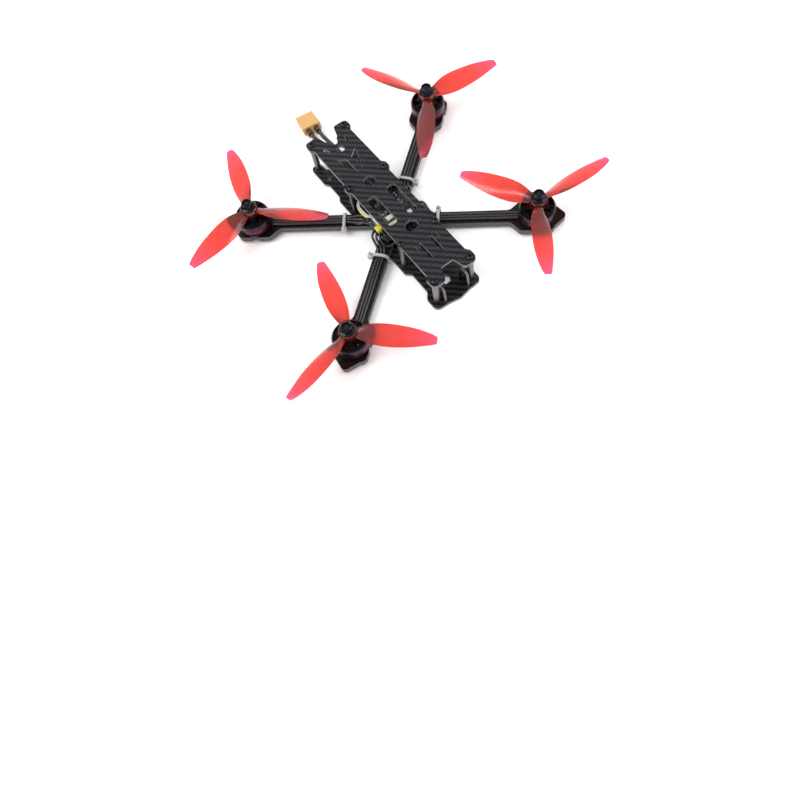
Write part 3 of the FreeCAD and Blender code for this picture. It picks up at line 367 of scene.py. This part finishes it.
# silicone rubber: soft black, matte with faint bloom
grommetRubber = finish("siliconeGrommet", "#101012", "#1c1c1f", 0.9, 0.62, bump=0.02)
# epoxy chip package: matte dark grey with moulded grain
chipEpoxy = finish("mouldedEpoxy", "#16171a", "#232428", 0.35, 0.5, bump=0.02)
# nylon connector shell: cream, faintly see-through
socketNylon = finish("creamNylon", "#dcd7c6", "#efeadb", 1.2, 0.42, bump=0.015, Subsurface_Weight=0.15,
                     Subsurface_Radius=(0.001, 0.0008, 0.0005))
# tinned steel shell: bright with drawn lines
shellTin = finish("tinnedSteel", "#b9bbbd", "#d6d7d8", 0.6, 0.25, stretch=(1, 0.08, 1), Metallic=1.0)
# yellow moulded epoxy: clean yellow, slight mottling
tantalumEpoxy = finish("yellowEpoxy", "#bfae18", "#d8cb3a", 0.8, 0.42, bump=0.01)
# receiver under lacquer: blue-black enamel with an even gloss
receiverBoard = finish("receiverEnamel", "#15202f", "#22324a", 0.7, 0.35, Coat_Weight=0.3)
# silicone motor wires: soft gloss, very slight waviness
leadSilicone = finish("blackSilicone", "#121214", "#1e1e21", 1.6, 0.3, bump=0.03, Coat_Weight=0.25,
                      Coat_Roughness=0.2)
# thick silicone battery wire: duller, with broad soft waves
sleeveBlack = finish("blackWireJacket", "#131214", "#211e20", 1.4, 0.38, bump=0.04, Coat_Weight=0.2)
# natural nylon: milky grey, light passes a little way in
tieNylon = finish("naturalNylon", "#a3a6a8", "#c4c7c8", 0.9, 0.38, bump=0.02, Transmission_Weight=0.15,
                  Subsurface_Weight=0.3, Subsurface_Radius=(0.002, 0.002, 0.0018))
# glass-filled nylon plug: warm yellow, satin, fine moulding grain
plugNylon = finish("yellowNylon", "#bd9250", "#cda164", 0.5, 0.44, bump=0.02, Subsurface_Weight=0.1,
                   Subsurface_Radius=(0.001, 0.0007, 0.0003))
# gold plate over brass: warm and mirror-like
contactGold = finish("goldPlate", "#d9a441", "#efc566", 0.6, 0.2, Metallic=1.0)
# heat-shrink: dark brown-black, wrinkled gloss
shrinkTube = finish("heatShrink", "#1d1214", "#33201f", 1.1, 0.3, bump=0.08, Coat_Weight=0.3)
# solder: bright, rounded, faintly dimpled as it cooled
solderTin = finish("solder", "#a8aaad", "#c9cacc", 0.5, 0.22, bump=0.02, Metallic=1.0)
# thin PVC wire jackets: clean colours, satin
wireYellow = finish("yellowJacket", "#b9ae1c", "#d6cc38", 1.2, 0.36, bump=0.02)
wireCream = finish("creamJacket", "#a39d8a", "#c8c2ae", 1.2, 0.4, bump=0.02)
wireWhite = finish("whiteJacket", "#b5b5b3", "#d4d4d2", 1.2, 0.4, bump=0.02)
print("finishes made")


# battery lead, in millimetres; the sleeve starts that far behind the centre
leadSettings = {
    "radius": 1.75,
    "red": [(-4.6, 21.0, 17.0), (-3.2, 36.5, 16.4), (-1.6, 53.0, 13.7), (-3.6, 70.0, 12.6),
            (-4.2, 86.0, 12.4), (-3.1, 101.0, 11.6), (-3.54, 112.84, 9.42), (-2.12, 121.76, 7.66)],
    "black": [(4.6, 21.0, 17.0), (1.8, 35.5, 16.8), (1.9, 53.0, 14.4), (3.4, 70.0, 12.9),
              (3.8, 86.0, 12.3), (2.9, 101.0, 11.4), (3.57, 111.71, 9.42), (4.99, 120.63, 7.66)],
    "redLength": 0.1017, "blackLength": 0.1006, "sleeveStart": 83.5,
}


def redJacket(name):
    # silicone jacket, red as far as its black outer sleeve, which starts near the tail
    material, tree, surface = startMaterial(name, Roughness=0.36, Coat_Weight=0.25, Coat_Roughness=0.2)
    along = addNode(tree, "SeparateXYZ", {0: addNode(tree, "TexCoord").outputs["Object"]}).outputs[1]
    start = leadSettings["sleeveStart"] * mm
    sleeved = addNode(tree, "Math", {0: along, 1: start}, operation="GREATER_THAN").outputs[0]
    grain = noiseAt(tree, 1.4)
    red = blended(tree, grain, hexColour("#a5152a"), hexColour("#cf2f45"))
    black = blended(tree, grain, hexColour("#131214"), hexColour("#211e20"))
    tree.links.new(blended(tree, sleeved, red, black), surface.inputs["Base Color"])
    addRelief(tree, surface, grain, 0.04)
    return material


def smoothLine(name, points, radius, material):
    # round cable on one smooth spline, points and radius in millimetres
    curve = bpy.data.curves.new(name, "CURVE")
    curve.dimensions = "3D"
    spline = curve.splines.new("NURBS")
    spline.points.add(len(points) - 1)
    for point, place in zip(spline.points, points):
        point.co = (place[0] * mm, place[1] * mm, place[2] * mm, 1.0)
    spline.order_u = 3
    spline.use_endpoint_u = True
    spline.resolution_u = 12
    curve.bevel_depth = radius * mm
    curve.bevel_resolution = 5
    curve.use_fill_caps = True
    curve.materials.append(material)
    line = bpy.data.objects.new(name, curve)
    scene.collection.objects.link(line)
    return line


wireRadius = leadSettings["radius"]
redWire = smoothLine("batteryWireRed", leadSettings["red"], wireRadius, redJacket("redSilicone"))
blackWire = smoothLine("batteryWireBlack", leadSettings["black"], wireRadius, sleeveBlack)
for wire, key, node in ((redWire, "red", "battery_wire_red"), (blackWire, "black", "battery_wire_black")):
    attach(wire, "frame")
    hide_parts(node)
print("battery lead made")

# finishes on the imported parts
nodeFinish = {
    "bottom_plate": carbonPlate, "clamp_plate": carbonPlate, "top_plate": carbonPlate,
    "camera_bracket_left": carbonBracket, "camera_bracket_right": carbonBracket,
    "standoff_posts": postMetal, "top_screws": blackSteel, "belly_screws": blackSteel,
    "clamp_nuts": blackSteel, "stack_screws": blackSteel, "stack_lock_nuts": nutMetal,
    "motor_screws": blackSteel,
    "board_grommets": grommetRubber, "speed_controller_board": circuitBoard("blackSolderMask"),
    "speed_controller_chips": chipEpoxy, "flight_controller_chips": chipEpoxy,
    "board_sockets": boardSockets("nylonSockets"), "usb_socket": shellTin,
    "tantalum_capacitors": tantalumEpoxy, "radio_receiver": receiverBoard,
    "motor_stators": statorSteel, "motor_windings": windingCopper, "motor_bearings": bearingSteel,
    "motor_leads": leadSilicone, "cable_ties": tieNylon, "plug_housing": plugNylon,
    "plug_contacts": contactGold, "solder_collars": shrinkTube,
}
nodeFinish["flight_controller_board"] = nodeFinish["speed_controller_board"]
canLow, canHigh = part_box("power_capacitor")
nodeFinish["power_capacitor"] = sleevedCan("sleevedCapacitor", canLow.y, canHigh.y)
bellMetal = anodisedBell("anodisedBell")
corners = {"front_left": (1, -1), "front_right": (-1, -1), "rear_left": (1, 1), "rear_right": (-1, 1)}
for corner, (left, back) in corners.items():
    low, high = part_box("motor_shaft_" + corner)
    nodeFinish["arm_" + corner] = carbonArm[left * back]
    nodeFinish["motor_base_" + corner] = baseMetal
    nodeFinish["motor_bell_" + corner] = bellMetal
    nodeFinish["motor_magnets_" + corner] = magnetNickel
    nodeFinish["motor_shaft_" + corner] = blackSteel
    nodeFinish["propeller_" + corner] = tintedBlade("tintedPolycarbonate_" + corner, (low + high) / 2)
    nodeFinish["prop_nut_" + corner] = nutMetal
for name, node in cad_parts.items():
    if name in ("battery_wire_red", "battery_wire_black"):
        continue
    node.data.materials.clear()
    node.data.materials.append(nodeFinish[name])
print("finishes assigned")


def settle(name, mesh, material):
    # bmesh to a piece that rides on the frame
    data = bpy.data.meshes.new(name)
    mesh.to_mesh(data)
    mesh.free()
    data.materials.append(material)
    for face in data.polygons:
        face.use_smooth = True
    piece = bpy.data.objects.new(name, data)
    scene.collection.objects.link(piece)
    piece.data.set_sharp_from_angle(angle=math.radians(35))
    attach(piece, "frame")


def addBlock(mesh, low, high, bevel=0.15):
    # block with rounded edges between two corners in millimetres
    size = Vector(high) - Vector(low)
    middle = (Vector(high) + Vector(low)) / 2
    made = bmesh.ops.create_cube(mesh, size=1.0)["verts"]
    bmesh.ops.scale(mesh, vec=size * mm, verts=made)
    bmesh.ops.translate(mesh, vec=middle * mm, verts=made)
    edges = list({edge for vert in made for edge in vert.link_edges})
    if bevel:
        bmesh.ops.bevel(mesh, geom=edges, offset=bevel * mm, affect="EDGES", segments=2, profile=0.5,
                        material=-1)


# millimetres; four thin wires loop from a plug on the upper board, round its edge, to pads on the lower one
harness = {
    "radius": 0.62, "pinPitch": 1.5, "padPitch": 1.35,
    "path": [(-14.5, 3.6, 23.0), (-17.8, 3.4, 23.0), (-19.6, 5.4, 21.8), (-20.2, 10.4, 21.0),
             (-19.8, 15.6, 20.4), (-18.0, 21.4, 19.4), (-13.8, 24.6, 18.0), (-10.0, 23.4, 16.6),
             (-8.6, 21.9, 15.9)],
    "lanes": [(0.0, 0.0, 0.0, wireYellow), (1.25, 0.0, -0.6, wireYellow), (0.3, 1.15, -1.3, wireCream),
              (1.5, 1.15, -1.9, wireWhite)],
}
last = len(harness["path"]) - 1
for number, (inward, up, shift, jacket) in enumerate(harness["lanes"]):
    course = []
    for index, (x, y, z) in enumerate(harness["path"]):
        # fanned out to one pad each at the end, to one pin each at the start
        if index == last:
            course.append((x + 0.2 * inward - harness["padPitch"] * number + 2.0, y, z))
        elif index == 0:
            course.append((x, y - harness["pinPitch"] * number, z))
        else:
            course.append((x + inward, y + (shift if index < 3 else 0), z + up))
    wire = smoothLine("harnessWire%d" % (number + 1), course, harness["radius"], jacket)
    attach(wire, "frame")

sockets = bmesh.new()
addBlock(sockets, (-16.6, -2.4, 22.85), (-13.2, 4.9, 24.1), 0.25)
addBlock(sockets, (-8.6, -8.6, 19.92), (-3.2, -4.6, 22.4), 0.3)
settle("harnessPlugs", sockets, socketNylon)

block = bmesh.new()
addBlock(block, (-20.6, -12.2, 20.1), (-13.2, -7.2, 23.6), 0.45)
settle("yellowCapacitor", block, tantalumEpoxy)

# millimetres; a drop of solder where each motor wire and each battery wire meets its pad
padSettings = {
    "leadX": 17.3, "leadY": 7.6, "pitch": 3.04, "level": 15.25, "size": 1.35, "shape": (1.1, 0.95, 0.95),
    "wire": (4.6, 20.9, 16.2), "wireSize": 2.3, "wireShape": (0.95, 1.15, 0.85),
}
joints = bmesh.new()


def addDrop(place, size, shape):
    made = bmesh.ops.create_icosphere(joints, subdivisions=2, radius=size * mm)["verts"]
    bmesh.ops.scale(joints, vec=shape, verts=made)
    bmesh.ops.translate(joints, vec=Vector(place) * mm, verts=made)


for left in (-1, 1):
    for back in (-1, 1):
        for lane in (-1, 0, 1):
            across = padSettings["leadY"] + lane * padSettings["pitch"]
            addDrop((left * padSettings["leadX"], back * across, padSettings["level"]),
                    padSettings["size"], padSettings["shape"])
for side in (-1, 1):
    x, y, z = padSettings["wire"]
    addDrop((side * x, y, z), padSettings["wireSize"], padSettings["wireShape"])
settle("solderJoints", joints, solderTin)

# millimetres; small parts strewn over the flight controller, clear of the boxes in taken
partSettings = {
    "seed": 7, "count": 46, "tries": 400, "clear": 0.4, "sizes": [(1.6, 0.8), (1.0, 0.5), (2.0, 1.25)],
    "field": (-12, -11, 12, 12), "deck": 19.9, "top": 20.4,
}
dice = random.Random(partSettings["seed"])
small = bmesh.new()
taken = [(-3.5, -3.5, 3.5, 3.5), (5.5, 4, 8.5, 7), (-8, 5, -5, 8.5), (5.5, -7, 10, -2.5), (1, 8, 6.5, 11.5),
         (-16.8, -6.5, -12.6, 5.5), (-11.2, -16, -2.3, -11.4), (12.8, -5, 16.8, 4), (-4, 12.2, 4, 16.3),
         (2.2, -17.8, 11.2, -11.0), (-20.6, -12.2, -13.2, -7.2), (-8.8, -8.8, -3.0, -4.4)]
enough = len(taken) + partSettings["count"]
gap = partSettings["clear"]
for attempt in range(partSettings["tries"]):
    if len(taken) >= enough:
        break
    long, wide = dice.choice(partSettings["sizes"])
    if dice.random() < 0.5:
        long, wide = wide, long
    x = dice.uniform(partSettings["field"][0], partSettings["field"][2])
    y = dice.uniform(partSettings["field"][1], partSettings["field"][3])
    spot = (x - long / 2, y - wide / 2, x + long / 2, y + wide / 2)
    if any(spot[0] < t[2] + gap and spot[2] > t[0] - gap and spot[1] < t[3] + gap and spot[3] > t[1] - gap
           for t in taken):
        continue
    taken.append(spot)
    addBlock(small, (spot[0], spot[1], partSettings["deck"]), (spot[2], spot[3], partSettings["top"]), 0)
# chip resistors and capacitors: tan ceramic bodies, mottled towards tin grey
ceramic = finish("chipCeramic", "#8d7a5e", "#c9c6bf", 0.7, 0.35)
settle("chipResistors", small, ceramic)
print("board wiring made")

studio = {
    "floorSize": 6.0, "floorLevel": -0.0002, "world": 1.0,
    "keyPlace": (-0.75, 0.35, 1.1), "keySize": (0.7, 0.9), "keyPower": 11.0,
    "fillPlace": (0.8, -0.5, 0.9), "fillSize": (0.8, 0.6), "fillPower": 5.5,
}
floorMesh = bmesh.new()
bmesh.ops.create_grid(floorMesh, x_segments=1, y_segments=1, size=studio["floorSize"] / 2)
bmesh.ops.translate(floorMesh, vec=(0, 0, studio["floorLevel"]), verts=floorMesh.verts)
floorData = bpy.data.meshes.new("floor")
floorMesh.to_mesh(floorData)
floorMesh.free()
floor = bpy.data.objects.new("floor", floorData)
scene.collection.objects.link(floor)
# matt white paper sweep: even, with the faintest mottling
floorData.materials.append(finish("whitePaper", "#fbfbfb", "#ffffff", 40.0, 0.9, spread=0.03))
floor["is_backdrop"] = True

world = bpy.data.worlds.new("studioWorld")
scene.world = world
world.use_nodes = True
world.node_tree.nodes["Background"].inputs["Color"].default_value = hexColour("#ffffff")
world.node_tree.nodes["Background"].inputs["Strength"].default_value = studio["world"]


def addLamp(name, place, size, power):
    # soft area lamp aimed at the object's origin
    data = bpy.data.lights.new(name, "AREA")
    data.shape = "RECTANGLE"
    data.size, data.size_y = size
    data.energy = power
    lamp = bpy.data.objects.new(name, data)
    lamp.location = place
    lamp.rotation_mode = "QUATERNION"
    lamp.rotation_quaternion = Vector(place).to_track_quat("Z", "Y")
    scene.collection.objects.link(lamp)


addLamp("keyLamp", studio["keyPlace"], studio["keySize"], studio["keyPower"])
addLamp("fillLamp", studio["fillPlace"], studio["fillSize"], studio["fillPower"])
print("stage lit")

low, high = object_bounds()
